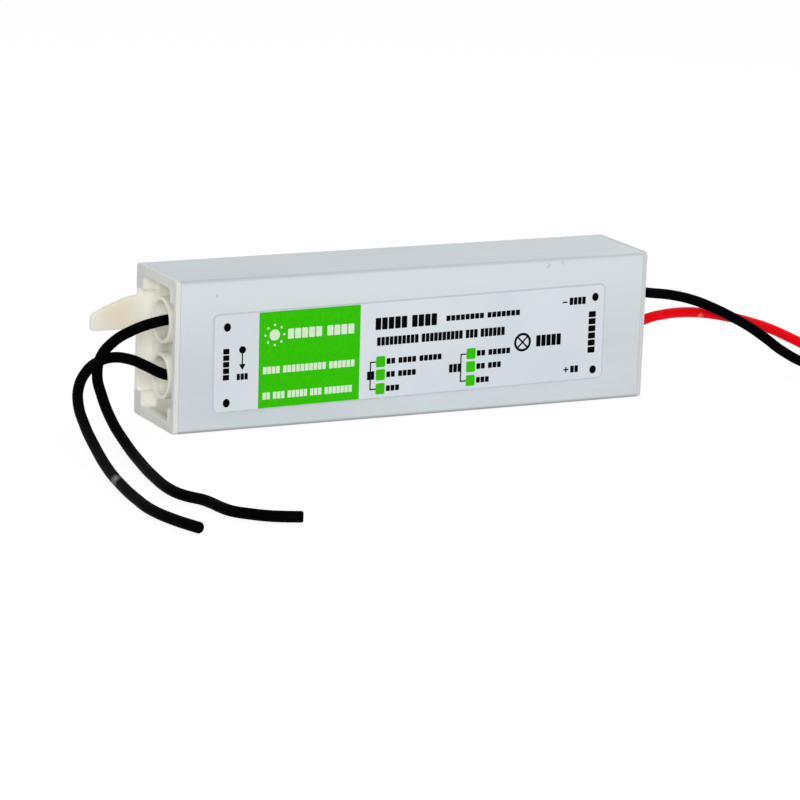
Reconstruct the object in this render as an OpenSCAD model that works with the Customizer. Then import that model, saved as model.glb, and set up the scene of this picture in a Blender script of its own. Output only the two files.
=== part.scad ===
// Waterproof LED driver: an extruded aluminium tube closed by two moulded end caps,
// with a potted power supply inside, two input leads and two output leads.
// Frame: X runs along the tube to the output end, Y to the mounting face, Z up.
// The origin is the middle of the narrow long side that the driver stands on.

/* [Housing] */
// Length of the aluminium tube
tube_l = 101; // [98:1:140]
// Depth of the tube, from the label face to the mounting face
tube_d = 19.5; // [18.5:0.5:26]
// Height of the tube
tube_h = 30; // [29:0.5:40]
// Wall of the extrusion
wall = 0.8; // [0.6:0.1:1]
// Outer edge radius of the extrusion and of the caps
edge_r = 0.8; // [0.4:0.1:1.5]
// Inner corner radius of the extrusion
inner_r = 0.4; // [0.2:0.1:0.8]

/* [End caps] */
// Thickness of the flange that covers the tube's end
flange_t = 1; // [0.8:0.1:2]
// Wall of the spigot that plugs into the tube
spigot_wall = 1.1; // [0.8:0.1:1.5]
// Gap between spigot and tube, on each side
spigot_fit = 0.1; // [0.05:0.05:0.3]
// Depth of the open recess, from the rim
recess_depth = 3; // [2.5:0.25:5]
// Corner radius of the recess
recess_r = 0.8; // [0.4:0.1:2]
// How far the posts in the recess's corners reach in from the front and the rear
post_w = 3.2; // [2.4:0.1:4]
// Thickness of the cap's floor behind the recess
floor_t = 2; // [1.5:0.25:3]
// Outer diameter of the ring around each lead
boss_d = 9.2; // [8:0.2:10.4]
// Inner diameter of that ring
boss_bore = 7.6; // [4.5:0.1:7.8]
// How far the ring stays below the rim
boss_drop = 1.1; // [0.4:0.1:2]
// Distance between the two leads of one end
lead_pitch = 11; // [10.6:0.2:13]

/* [Ears] */
// How far the ear stands out past the rim
ear_l = 9.7; // [6:0.1:14]
// Thickness of the ear, and of the cap's walls between the corner posts
ear_t = 1.4; // [1.3:0.1:1.8]
// Height of the ear where it leaves the rim
ear_root_h = 6.6; // [5:0.1:7]
// Height of the ear at its tip
ear_tip_h = 3.1; // [2:0.1:4.5]
// Distance of the ear's straight edge from the middle of the cap
ear_offset = 2.1; // [0:0.1:2.4]
// Corner radius at the ear's tip
ear_tip_r = 0.6; // [0.2:0.1:1]
// Height of the wide part of the recess, between the corner posts
notch_h = 20.4; // [18.8:0.2:21]

/* [Label] */
// Length of the label
label_w = 85.2; // [60:0.2:92]
// Height of the label
label_h = 19; // [12:0.5:22]
// Thickness of the label
label_t = 0.12; // [0.08:0.01:0.3]
// Corner radius of the label
label_r = 1; // [0.5:0.1:4]
// How far the label sits towards the input end
label_shift = 0.75; // [0:0.05:2]
// How far the label's middle is below the middle of the face
label_drop = 1.1; // [0:0.1:2]
// How far the label is turned on its face, in degrees
label_turn = 0.7; // [0:0.1:1]

/* [Leads] */
// Diameter of a lead over its insulation
lead_d = 2.1; // [1.6:0.1:2.4]
// Gap between a lead and its hole in the cap
lead_fit = 0.1; // [0.05:0.05:0.3]
// How far the leads run inside the tube, from its end
lead_inside = 14.5; // [14:0.5:15]

/* [Sealing and insulation] */
// Thickness of the resin cast behind each cap
sealant_t = 3; // [2:0.25:5]
// Thickness of the insulating sleeve
sleeve_t = 0.3; // [0.2:0.05:0.5]
// Gap between the sleeve and the tube
sleeve_fit = 0.05; // [0.05:0.05:0.2]
// Gap between the sleeve and the resin at each end
sleeve_end_fit = 0.1; // [0.05:0.05:0.5]

/* [Circuit board] */
// Thickness of the board
board_t = 1.6; // [1:0.2:2]
// Gap between the board's edges and the sleeve
board_fit = 0.1; // [0.05:0.05:0.3]
// How far the resin grips each end of the board
board_grip = 1; // [0.5:0.25:1.75]
// Room for components between the board and the front of the sleeve
parts_room = 11.2; // [11:0.1:12]
// Diameter of a component's leg
leg_d = 0.7; // [0.5:0.1:0.8]
// Gap between a leg and its hole
leg_fit = 0.1; // [0.05:0.05:0.2]
// Length of leg that shows behind the board
leg_tail = 1.4; // [0.8:0.1:1.6]
// Distance between neighbouring components
part_gap = 1.3; // [1.2:0.1:1.5]
// Distance between the components and the board's long edges
edge_gap = 0.8; // [0.5:0.1:1.2]

/* [Input side] */
// Diameter of the fusible resistor
fuse_d = 4; // [3:0.2:4.6]
// Length of the fusible resistor
fuse_l = 10; // [8:0.5:11]
// Diameter of the surge absorber's disc
varistor_d = 9; // [7:0.5:9.5]
// Thickness of the surge absorber's disc
varistor_t = 3.6; // [3:0.2:4.2]
// Thickness of the box-shaped filter capacitor
filter_t = 6; // [5:0.5:6.5]
// Width of the filter capacitor
filter_w = 13; // [11:0.5:14]
// Height of the filter capacitor
filter_h = 10.5; // [8:0.5:10.5]
// Diameter of a drum choke
choke_d = 8.5; // [6:0.5:9]
// Height of a drum choke
choke_h = 9; // [6:0.5:10.5]
// Length of the bridge rectifier
bridge_l = 8.4; // [7:0.2:9]
// Diameter of the bulk capacitor
bulk_d = 10; // [8:0.5:10.5]
// Length of the bulk capacitor
bulk_l = 16; // [12:0.5:17]
// Length of the controller chip
chip_l = 9.4; // [9.2:0.2:10]
// Diameter of the clamp diode
clamp_d = 2.4; // [2:0.2:2.6]
// Length of the clamp diode
clamp_l = 5; // [4:0.5:6]
// Width of the moulded chip bodies
chip_w = 6.4; // [5.6:0.2:6.6]
// Height of the moulded chip bodies
chip_h = 3.2; // [2.8:0.1:3.4]

/* [Transformer] */
// Length of the core, both halves together
core_l = 14; // [13:0.5:15]
// Width of the core
core_w = 15; // [14.4:0.2:15.2]
// Thickness of the core
core_t = 4.8; // [4:0.2:5]
// Width of the core's outer legs and backs
core_leg = 2.1; // [1.8:0.1:2.3]
// Width of the core's middle leg
core_mid = 4; // [3.4:0.2:4.4]
// Gap between the two halves
core_gap = 0.1; // [0.05:0.05:0.3]
// Gap between the core and the bobbin
bobbin_fit = 0.1; // [0.05:0.05:0.15]
// Wall of the bobbin's tube
bobbin_wall = 0.7; // [0.5:0.1:0.9]
// Thickness of the bobbin's flanges
bobbin_flange = 0.8; // [0.6:0.1:1.2]
// Height of the bobbin above the board
bobbin_h = 10.8; // [10.4:0.1:10.9]
// How far the winding stays inside the bobbin's flanges
winding_inset = 0.3; // [0.1:0.1:0.8]
// Diameter of the interference capacitor's disc
disc_d = 7.5; // [6:0.5:9]
// Thickness of that disc
disc_t = 3.2; // [2.6:0.2:3.6]
// Width of the optocoupler
opto_w = 4.6; // [4.2:0.2:4.8]

/* [Output side] */
// Diameter of the output diode
diode_d = 5.2; // [4:0.2:5.6]
// Length of the output diode
diode_l = 9; // [7:0.5:10]
// Diameter of an output capacitor
can_d = 8; // [6.5:0.5:8.5]
// Height of an output capacitor
can_h = 10.6; // [8:0.1:10.9]

/* [Hidden] */
$fn = 48;

// Lengths along the tube, from its middle
tube_end = tube_l / 2;
rim_x = tube_end + flange_t;
recess_x = rim_x - recess_depth;
cap_inside_x = recess_x - floor_t;
sealant_inside_x = cap_inside_x - sealant_t;
lead_end_x = tube_end - lead_inside;

// Sections, as depth and height
mid_z = tube_h / 2;
inner_d = tube_d - 2 * wall;
inner_h = tube_h - 2 * wall;
rim_w = wall + spigot_fit + spigot_wall;
recess_d = tube_d - 2 * post_w;
recess_h = tube_h - 2 * rim_w;
sleeve_d = inner_d - 2 * sleeve_fit;
sleeve_h = inner_h - 2 * sleeve_fit;
sleeve_front = -sleeve_d / 2 + sleeve_t;
sleeve_room_h = sleeve_h - 2 * sleeve_t;

// The board, and the direct seats on it
board_front = sleeve_front + parts_room;
board_w = sleeve_room_h - 2 * board_fit;
board_l = 2 * (sealant_inside_x + board_grip);
leg_hole_d = leg_d + 2 * leg_fit;
low_edge = -board_w / 2 + edge_gap;
high_edge = board_w / 2 - edge_gap;

// Standard leg pitches: chips, small cans, discs with drums and larger cans, film capacitors
chip_pitch = 2.54;
can_pitch = 3.5;
radial_pitch = 5;
film_pitch = 10;
// How far legs stand off a body's end, off a chip's side, and run up into a body
leg_reach = 1.3;
chip_leg_reach = 0.7;
leg_grip = 1;
// Gap between the board and the bodies that lie on it
body_clear = 0.1;

// Legs of each component, from its own middle
fuse_legs = [for (s = [-1, 1]) [0, s * (fuse_l / 2 + leg_reach)]];
varistor_legs = [for (s = [-1, 1]) [0, s * radial_pitch / 2]];
filter_legs = [for (s = [-1, 1]) [0, s * film_pitch / 2]];
choke_legs = [for (s = [-1, 1]) [s * radial_pitch / 2, 0]];
chip_leg_y = chip_w / 2 + chip_leg_reach;
bridge_legs = [for (sx = [-1, 1], sy = [-1, 1]) [sx * chip_pitch, sy * chip_leg_y]];
bulk_legs = [for (s = [-1, 1]) [-bulk_l / 2 - leg_reach, s * radial_pitch / 2]];
chip_legs = [for (k = [-1.5:1:1.5], s = [-1, 1]) [k * chip_pitch, s * chip_leg_y]];
clamp_legs = [for (s = [-1, 1]) [s * (clamp_l / 2 + leg_reach), 0]];
opto_legs = [for (sx = [-1, 1], sy = [-1, 1]) [sx * chip_leg_y, sy * chip_pitch / 2]];
disc_legs = [for (s = [-1, 1]) [s * radial_pitch / 2, 0]];
diode_legs = [for (s = [-1, 1]) [0, s * (diode_l / 2 + leg_reach)]];
can_legs = [for (s = [-1, 1]) [s * can_pitch / 2, 0]];

// The transformer's own levels: the bobbin stands on the board and carries the core
core_z = bobbin_h / 2;
core_half_l = core_l / 2 - core_gap / 2;
window_w = core_w / 2 - core_leg;
bobbin_l = core_l - 2 * core_leg - 2 * bobbin_fit;
bobbin_w = 2 * (window_w - 2 * bobbin_fit);
bobbin_tube_w = core_mid + 2 * bobbin_fit + 2 * bobbin_wall;
bobbin_tube_h = core_t + 2 * bobbin_fit + 2 * bobbin_wall;
bobbin_foot_h = core_z - core_t / 2 - bobbin_fit;
bobbin_leg_x = core_l / 2 - core_leg / 2;
bobbin_legs = [for (s = [-1, 1], k = [-1.5:1:1.5]) [s * bobbin_leg_x, k * chip_pitch]];

// Places of the components on the board: along the tube, and up from the board's middle.
// Each one follows its neighbour in its own row, the lower or the upper.
fuse_at = [-lead_end_x + part_gap + fuse_d / 2,
           low_edge + fuse_l / 2 + leg_reach + leg_d / 2];
filter_at = [fuse_at.x + fuse_d / 2 + part_gap + filter_t / 2, low_edge + filter_w / 2];
bulk_at = [filter_at.x + filter_t / 2 + part_gap + leg_reach + bulk_l / 2, low_edge + bulk_d / 2];
varistor_at = [-lead_end_x + part_gap + varistor_t / 2, high_edge - varistor_d / 2];
input_choke_at = [max(varistor_at.x + varistor_t / 2, fuse_at.x + fuse_d / 2) + part_gap + choke_d / 2,
                  high_edge - choke_d / 2];
bridge_at = [input_choke_at.x + choke_d / 2 + part_gap + bridge_l / 2,
             high_edge - chip_leg_y - leg_d / 2];
chip_at = [bridge_at.x + bridge_l / 2 + part_gap + chip_l / 2, bridge_at.y];
clamp_at = [chip_at.x - chip_l / 4, (chip_at.y - chip_leg_y + bulk_at.y + bulk_d / 2) / 2];
transformer_at = [max(bulk_at.x + bulk_l / 2, chip_at.x + chip_l / 2) + part_gap + core_l / 2, 0];
transformer_out = transformer_at.x + core_l / 2 + part_gap;
disc_at = [transformer_at.x, high_edge - disc_t / 2];
opto_at = [transformer_at.x, low_edge + opto_w / 2];
can_inner_at = [transformer_out + can_d / 2, low_edge + can_d / 2];
can_outer_at = [can_inner_at.x + can_d + part_gap, can_inner_at.y];
diode_at = [transformer_out + diode_d / 2, high_edge - diode_l / 2 - leg_reach - leg_d / 2];
output_choke_at = [diode_at.x + diode_d / 2 + part_gap + choke_d / 2, high_edge - choke_d / 2];

SEATS = [[fuse_at, fuse_legs], [varistor_at, varistor_legs], [filter_at, filter_legs],
         [input_choke_at, choke_legs], [bridge_at, bridge_legs], [bulk_at, bulk_legs],
         [chip_at, chip_legs], [clamp_at, clamp_legs], [transformer_at, bobbin_legs],
         [disc_at, disc_legs], [opto_at, opto_legs], [diode_at, diode_legs],
         [can_inner_at, can_legs], [can_outer_at, can_legs], [output_choke_at, choke_legs]];

// Routes of the leads. Each starts on the board, bends to the middle of the depth, runs
// straight through resin and cap, then goes down to the floor in front and lies there.
lead_sides = 8;
floor_clear = 0.05;
seat_clear = 0.02;
lie = lead_d / 2 + floor_clear;
upper_z = mid_z + lead_pitch / 2;
lower_z = mid_z - lead_pitch / 2;
seat_y = board_front - lead_d / 2 - seat_clear;
bend_l = sealant_inside_x - lead_end_x - leg_grip / 2;
bend_steps = 3;

// Points outside the cap are given as distance out from the rim, depth and height
function lead_route(side, z, outside) = concat(
    [for (k = [0:bend_steps])
        [side * (lead_end_x + bend_l * k / bend_steps), seat_y * (1 + cos(180 * k / bend_steps)) / 2, z]],
    [[side * recess_x, 0, z]],
    [for (p = outside) [side * (rim_x + p.x), p.y, p.z]]);

input_upper_route = lead_route(-1, upper_z, [
    [0.5, 0, 20], [4.5, 0, 18.9], [8.8, -0.5, 17], [11.8, -1.5, 14.4], [13.2, -3.3, 11.3],
    [13.4, -6.2, 8.1], [13.6, -11.5, 4.7], [14.1, -20, 2.1], [15.4, -30, lie], [17.2, -41, lie],
    [17.9, -49.5, lie], [17.5, -53.2, lie], [16.5, -55.9, lie], [15.3, -58, lie], [14.6, -60.7, lie],
    [14.2, -64, lie], [13.3, -67.1, lie], [11.3, -69.6, lie], [8, -72.4, lie], [3, -74.6, lie]]);
input_lower_route = lead_route(-1, lower_z, [
    [-1, 0.1, 10.2], [1.5, 0.4, 11.5], [5, 1.1, 13], [8.6, 1.5, 13.4], [11.8, 0.9, 12.7],
    [14.7, -0.9, 11.3], [17.1, -3.7, 9.4], [18.7, -7.5, 7.2], [20, -14, 4.7], [21.5, -23, 2.7],
    [23.2, -33, 1.4], [25, -44, lie], [26.2, -54, lie], [26.5, -62, lie], [25.2, -69.5, lie],
    [23.2, -75.5, lie]]);
output_black_route = lead_route(1, upper_z, [
    [1.5, 0, 20], [6.5, 0, 19.2], [12, -0.2, 18.4], [17, -0.7, 17.1], [21.5, -1.1, 15.3],
    [26, -1.5, 13.1], [30, -1.9, 10.9], [33.7, -2.3, 8.4], [37.5, -3.1, 5.6], [42, -5, 3.1],
    [47, -8.5, 1.6], [52, -14, lie], [55.5, -22, lie], [57.3, -31, lie], [57.3, -41, lie],
    [55.9, -51, lie]]);
output_red_route = lead_route(1, lower_z, [
    [-0.5, 0.2, 10.4], [3, 0.6, 12.2], [6.7, 1, 13.5], [11.3, 1.4, 14.1], [16, 1.5, 14.2],
    [21, 1.5, 13.7], [26.5, 1.5, 12.6], [32, 1.5, 11.1], [37.5, 1.5, 9.2], [43, 1.2, 6.7],
    [48.5, -0.5, 4], [54, -4.5, 2], [58.5, -11, lie], [61.5, -20, lie], [62.9, -31, lie],
    [62.7, -41, lie]]);

function unit(v) = v / norm(v);

function heading(route, i) =
    unit(route[min(i + 1, len(route) - 1)] - route[max(i - 1, 0)]);

function ring(route, i) =
    let (along = heading(route, i), side = unit(cross(along, [0, 0, 1])), rise = cross(side, along))
    [for (k = [0:lead_sides - 1])
        let (a = 360 * (k + 0.5) / lead_sides)
        route[i] + lead_d / 2 * (cos(a) * side + sin(a) * rise)];

// Points along a quarter round, for small outline corners
function corner(at, r, from) = [for (a = [0:22.5:90]) at + r * [cos(from + a), sin(from + a)]];

// A flat rectangle with rounded corners, centred
module round_rect(w, h, r) {
    square([w - 2 * r, h], center = true);
    square([w, h - 2 * r], center = true);
    for (sx = [-1, 1], sy = [-1, 1])
        translate([sx * (w / 2 - r), sy * (h / 2 - r)])
            circle(r);
}

// A section of the driver, drawn as depth and height, run along X from one place to another
module run_x(from, to) {
    translate([from, 0, mid_z])
        rotate([90, 0, 90])
            linear_extrude(to - from)
                children();
}

module housing_tube() {
    color("#cdd4d8")
        run_x(-tube_end, tube_end)
            difference() {
                round_rect(tube_d, tube_h, edge_r);
                round_rect(inner_d, inner_h, inner_r);
            }
}

// Outline of the ear, as distance out from the rim and height from its straight edge
ear_steps = 8;
ear_sweep = 1.45;
ear_outline = concat(
    [[-flange_t, 0], [-flange_t, -ear_root_h]],
    [for (k = [0:ear_steps - 1])
        let (s = k / ear_steps)
        [s * (ear_l - ear_tip_r), -ear_root_h + (ear_root_h - ear_tip_h) * pow(s, ear_sweep)]],
    corner([ear_l - ear_tip_r, -ear_tip_h + ear_tip_r], ear_tip_r, -90),
    corner([ear_l - ear_tip_r, -ear_tip_r], ear_tip_r, 0));

// Section of the open recess, wider between the posts in its corners
module recess_section() {
    round_rect(recess_d, recess_h, recess_r);
    square([tube_d - 2 * ear_t, notch_h], center = true);
}

// The end cap, as it sits on the output end
module end_cap() {
    difference() {
        union() {
            run_x(tube_end, rim_x)
                round_rect(tube_d, tube_h, edge_r);
            run_x(cap_inside_x, tube_end)
                round_rect(inner_d - 2 * spigot_fit, inner_h - 2 * spigot_fit, inner_r);
        }
        run_x(recess_x, rim_x + 1)
            recess_section();
        for (s = [-1, 1])
            translate([cap_inside_x - 1, 0, mid_z + s * lead_pitch / 2])
                rotate([0, 90, 0])
                    cylinder(d = lead_d + 2 * lead_fit, h = floor_t + 2);
    }
    // A thin ring around each lead
    for (s = [-1, 1])
        translate([recess_x, 0, mid_z + s * lead_pitch / 2])
            rotate([0, 90, 0])
                linear_extrude(recess_depth - boss_drop)
                    difference() {
                        circle(d = boss_d);
                        circle(d = boss_bore);
                    }
    translate([rim_x, tube_d / 2, mid_z - ear_offset])
        rotate([90, 0, 0])
            linear_extrude(ear_t)
                polygon(ear_outline);
}

module output_end_cap() {
    color("#e9e5d6")
        end_cap();
}

// The same moulding, turned half round about the depth
module input_end_cap() {
    color("#e9e5d6")
        translate([0, 0, mid_z])
            rotate([0, 180, 0])
                translate([0, 0, -mid_z])
                    end_cap();
}

module label() {
    color("#dde3e6")
        translate([-label_shift, -tube_d / 2, mid_z - label_drop])
            rotate([90, 0, 0])
                linear_extrude(label_t)
                    rotate(label_turn)
                        round_rect(label_w, label_h, label_r);
}

// One lead, swept along its route
module lead(route) {
    n = lead_sides;
    last = len(route) - 1;
    sides = [for (i = [0:last - 1], k = [0:n - 1])
        let (a = i * n + k, b = i * n + (k + 1) % n)
        each [[a, b + n, b], [a, a + n, b + n]]];
    polyhedron(
        points = [for (i = [0:last]) each ring(route, i)],
        faces = concat(sides, [[for (k = [0:n - 1]) k]],
                       [[for (k = [n - 1:-1:0]) last * n + k]]));
}

module input_lead_upper() {
    color("#17181b")
        lead(input_upper_route);
}

module input_lead_lower() {
    color("#17181b")
        lead(input_lower_route);
}

module output_lead_black() {
    color("#17181b")
        lead(output_black_route);
}

module output_lead_red() {
    color("#e0182a")
        lead(output_red_route);
}

// Resin cast behind the cap: it grips the leads and the end of the board
module sealant() {
    difference() {
        run_x(sealant_inside_x, cap_inside_x)
            round_rect(inner_d, inner_h, inner_r);
        for (s = [-1, 1])
            translate([sealant_inside_x - 1, 0, mid_z + s * lead_pitch / 2])
                rotate([0, 90, 0])
                    cylinder(d = lead_d, h = sealant_t + 2);
        translate([sealant_inside_x - 1, board_front, mid_z - board_w / 2])
            cube([board_grip + 1, board_t, board_w]);
    }
}

module output_sealant() {
    color("#d8d4c4")
        sealant();
}

module input_sealant() {
    color("#d8d4c4")
        mirror([1, 0, 0])
            sealant();
}

module insulation_sleeve() {
    end_x = sealant_inside_x - sleeve_end_fit;
    color("#d7c9a4")
        run_x(-end_x, end_x)
            difference() {
                round_rect(sleeve_d, sleeve_h, inner_r);
                square([sleeve_d - 2 * sleeve_t, sleeve_room_h], center = true);
            }
}

// Puts a component on the board: its own Z then points away from the board, to the label
module on_board(at) {
    translate([at.x, board_front, mid_z + at.y])
        rotate([90, 0, 0])
            children();
}

module circuit_board() {
    color("#3f7d4a")
        difference() {
            translate([-board_l / 2, board_front, mid_z - board_w / 2])
                cube([board_l, board_t, board_w]);
            for (seat = SEATS)
                on_board(seat[0])
                    for (leg = seat[1])
                        translate([leg.x, leg.y, -board_t - 1])
                            cylinder(d = leg_hole_d, h = board_t + 2);
        }
}

// Straight legs, from behind the board up to a height inside the component
module legs(places, top) {
    for (p = places)
        translate([p.x, p.y, -board_t - leg_tail])
            cylinder(d = leg_d, h = board_t + leg_tail + top);
}

// An axial component lying along Y: a body on one straight wire, bent down at both ends
module axial(d, l, places, end_d, end_l) {
    axis_z = max(d, end_d) / 2 + body_clear;
    span = norm(places[1] - places[0]);
    legs(places, axis_z);
    translate([0, 0, axis_z])
        rotate([90, 0, 0]) {
            cylinder(d = leg_d, h = span + leg_d, center = true);
            cylinder(d = d, h = l, center = true);
            for (s = [-1, 1])
                translate([0, 0, s * (l - end_l) / 2])
                    cylinder(d = end_d, h = end_l, center = true);
        }
}

// A moulded chip body with legs bent down from its sides
module chip(l, w, places) {
    side_z = chip_h / 2;
    translate([0, 0, body_clear])
        linear_extrude(chip_h - body_clear)
            square([l, w], center = true);
    legs(places, side_z);
    for (p = places)
        translate([p.x, p.y / 2, side_z])
            cube([leg_d, abs(p.y), leg_d / 2], center = true);
}

// A coated disc that stands on its edge, with its flat sides along Y and Z
module disc(d, t, places) {
    lift = 1;
    legs(places, lift + d / 3);
    translate([0, 0, lift + d / 2])
        rotate([0, 90, 0])
            rotate_extrude()
                polygon([[0, -t / 2], [d / 2 - t / 3, -t / 2], [d / 2, -t / 6],
                         [d / 2, t / 6], [d / 2 - t / 3, t / 2], [0, t / 2]]);
}

// A drum core with its winding between two flanges
module drum_choke() {
    lip = 1.2;
    winding_d = choke_d - 0.8;
    legs(choke_legs, leg_grip);
    cylinder(d = choke_d, h = lip);
    cylinder(d = winding_d, h = choke_h);
    translate([0, 0, choke_h - lip])
        cylinder(d = choke_d, h = lip);
}

// An aluminium can with a crimped groove near its open end, standing on that end
module can(d, h) {
    groove_z = 1.8;
    groove = 0.35;
    bevel = 0.5;
    rotate_extrude()
        polygon([[0, 0], [d / 2 - bevel, 0], [d / 2, bevel], [d / 2, groove_z - groove],
                 [d / 2 - groove, groove_z], [d / 2, groove_z + groove], [d / 2, h - bevel],
                 [d / 2 - bevel, h], [0, h]]);
}

module fuse_resistor() {
    waist_d = fuse_d - 0.6;
    bell_l = 1.6;
    color("#8fa58c")
        on_board(fuse_at)
            axial(waist_d, fuse_l, fuse_legs, fuse_d, bell_l);
}

module varistor() {
    color("#2f5fa8")
        on_board(varistor_at)
            disc(varistor_d, varistor_t, varistor_legs);
}

module filter_capacitor() {
    corner_r = 0.6;
    color("#c9a227")
        on_board(filter_at) {
            linear_extrude(filter_h)
                round_rect(filter_t, filter_w, corner_r);
            legs(filter_legs, leg_grip);
        }
}

module input_choke() {
    color("#2b2b2e")
        on_board(input_choke_at)
            drum_choke();
}

module bridge_rectifier() {
    color("#242427")
        on_board(bridge_at)
            chip(bridge_l, chip_w, bridge_legs);
}

// The can lies along the tube, with its legs bent down at its input end
module bulk_capacitor() {
    axis_z = bulk_d / 2 + body_clear;
    color("#2a2f3a")
        on_board(bulk_at) {
            translate([-bulk_l / 2, 0, axis_z])
                rotate([0, 90, 0])
                    can(bulk_d, bulk_l);
            legs(bulk_legs, axis_z);
            for (p = bulk_legs)
                translate([p.x - leg_d / 2, p.y, axis_z])
                    rotate([0, 90, 0])
                        cylinder(d = leg_d, h = leg_d / 2 + leg_reach + leg_grip);
        }
}

module controller_chip() {
    color("#242427")
        on_board(chip_at)
            chip(chip_l, chip_w, chip_legs);
}

module clamp_diode() {
    turned = [for (p = clamp_legs) [p.y, p.x]];
    color("#242427")
        on_board(clamp_at)
            rotate([0, 0, 90])
                axial(clamp_d, clamp_l, turned, clamp_d, leg_grip);
}

// Half of the core: a back bar with two outer legs and a middle leg, on the output side
module core_half() {
    back_x = core_l / 2 - core_leg;
    translate([0, 0, core_z - core_t / 2])
        linear_extrude(core_t) {
            translate([back_x, -core_w / 2])
                square([core_leg, core_w]);
            for (y = [-core_w / 2, core_w / 2 - core_leg])
                translate([core_gap / 2, y])
                    square([core_half_l, core_leg]);
            translate([core_gap / 2, -core_mid / 2])
                square([core_half_l, core_mid]);
        }
}

module transformer_core_output_half() {
    color("#3a3a3d")
        on_board(transformer_at)
            core_half();
}

module transformer_core_input_half() {
    color("#3a3a3d")
        on_board(transformer_at)
            mirror([1, 0, 0])
                core_half();
}

module transformer_bobbin() {
    color("#1f1f22")
        on_board(transformer_at) {
            difference() {
                union() {
                    translate([-bobbin_l / 2, -bobbin_tube_w / 2, core_z - bobbin_tube_h / 2])
                        cube([bobbin_l, bobbin_tube_w, bobbin_tube_h]);
                    for (x = [-bobbin_l / 2, bobbin_l / 2 - bobbin_flange])
                        translate([x, -bobbin_w / 2, 0])
                            cube([bobbin_flange, bobbin_w, bobbin_h]);
                }
                translate([-core_l, -core_mid / 2 - bobbin_fit, core_z - core_t / 2 - bobbin_fit])
                    cube([2 * core_l, core_mid + 2 * bobbin_fit, core_t + 2 * bobbin_fit]);
            }
            for (s = [-1, 1])
                translate([s * (core_l / 2 + bobbin_l / 2 - bobbin_flange) / 2, 0, bobbin_foot_h / 2])
                    cube([core_l / 2 - bobbin_l / 2 + bobbin_flange, bobbin_w, bobbin_foot_h],
                         center = true);
            legs(bobbin_legs, leg_grip);
        }
}

// The taped copper between the bobbin's flanges
module transformer_winding() {
    winding_l = bobbin_l - 2 * bobbin_flange - 2 * bobbin_fit;
    winding_w = bobbin_w - 2 * winding_inset;
    winding_h = bobbin_h - 2 * winding_inset;
    winding_r = 1.5;
    color("#d9b43c")
        on_board(transformer_at)
            translate([-winding_l / 2, 0, core_z])
                rotate([90, 0, 90])
                    linear_extrude(winding_l)
                        difference() {
                            round_rect(winding_w, winding_h, winding_r);
                            square([bobbin_tube_w + 2 * bobbin_fit, bobbin_tube_h + 2 * bobbin_fit],
                                   center = true);
                        }
}

module interference_capacitor() {
    turned = [for (p = disc_legs) [p.y, p.x]];
    color("#3c78b4")
        on_board(disc_at)
            rotate([0, 0, 90])
                disc(disc_d, disc_t, turned);
}

module optocoupler() {
    turned = [for (p = opto_legs) [p.y, p.x]];
    color("#e4e2da")
        on_board(opto_at)
            rotate([0, 0, 90])
                chip(opto_w, chip_w, turned);
}

module output_diode() {
    color("#242427")
        on_board(diode_at)
            axial(diode_d, diode_l, diode_legs, diode_d, leg_grip);
}

module output_capacitor_inner() {
    color("#263a66")
        on_board(can_inner_at) {
            can(can_d, can_h);
            legs(can_legs, leg_grip);
        }
}

module output_capacitor_outer() {
    color("#263a66")
        on_board(can_outer_at) {
            can(can_d, can_h);
            legs(can_legs, leg_grip);
        }
}

module output_choke() {
    color("#2b2b2e")
        on_board(output_choke_at)
            drum_choke();
}

housing_tube();
input_end_cap();
output_end_cap();
label();
input_lead_upper();
input_lead_lower();
output_lead_black();
output_lead_red();
input_sealant();
output_sealant();
insulation_sleeve();
circuit_board();
fuse_resistor();
varistor();
filter_capacitor();
input_choke();
bridge_rectifier();
bulk_capacitor();
controller_chip();
clamp_diode();
transformer_core_input_half();
transformer_core_output_half();
transformer_bobbin();
transformer_winding();
interference_capacitor();
optocoupler();
output_diode();
output_capacitor_inner();
output_capacitor_outer();
output_choke();
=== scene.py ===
import math

import bmesh
import bpy
from mathutils import Matrix, Vector


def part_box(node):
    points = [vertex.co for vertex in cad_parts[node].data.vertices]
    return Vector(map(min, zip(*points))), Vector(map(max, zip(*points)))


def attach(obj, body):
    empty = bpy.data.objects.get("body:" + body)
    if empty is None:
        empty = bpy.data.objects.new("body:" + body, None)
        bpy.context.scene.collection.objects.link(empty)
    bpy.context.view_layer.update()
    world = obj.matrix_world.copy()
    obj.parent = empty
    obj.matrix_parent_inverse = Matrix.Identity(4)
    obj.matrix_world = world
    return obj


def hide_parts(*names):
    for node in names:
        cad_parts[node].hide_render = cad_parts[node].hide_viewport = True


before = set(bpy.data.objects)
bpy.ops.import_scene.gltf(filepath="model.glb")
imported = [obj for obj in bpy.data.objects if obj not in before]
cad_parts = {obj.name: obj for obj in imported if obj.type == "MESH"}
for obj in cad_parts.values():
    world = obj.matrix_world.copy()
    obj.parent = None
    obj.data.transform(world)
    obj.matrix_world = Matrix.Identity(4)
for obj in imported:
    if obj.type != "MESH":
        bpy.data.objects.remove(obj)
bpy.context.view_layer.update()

# Camera
# A long lens looks at the label from the input end's side and from a little above.
# Its place and turn were fitted to the corners of the housing in the photograph.
mm = 0.001
camera_place = Vector((-340.8, -670.7, 181.7)) * mm
camera_turn = math.radians(-27.06)
camera_tilt = math.radians(13.506)
camera_roll = math.radians(2.183)
camera_sensor = 36
camera_lens = 175
bpy.ops.object.camera_add()
camera = bpy.context.object
camera.matrix_world = (
    Matrix.Translation(camera_place)
    @ Matrix.Rotation(camera_turn, 4, "Z")
    @ Matrix.Rotation(math.pi / 2 - camera_tilt, 4, "X")
    @ Matrix.Rotation(camera_roll, 4, "Z")
)
camera.data.sensor_width = camera_sensor
camera.data.lens = camera_lens
bpy.context.scene.camera = camera
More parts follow.
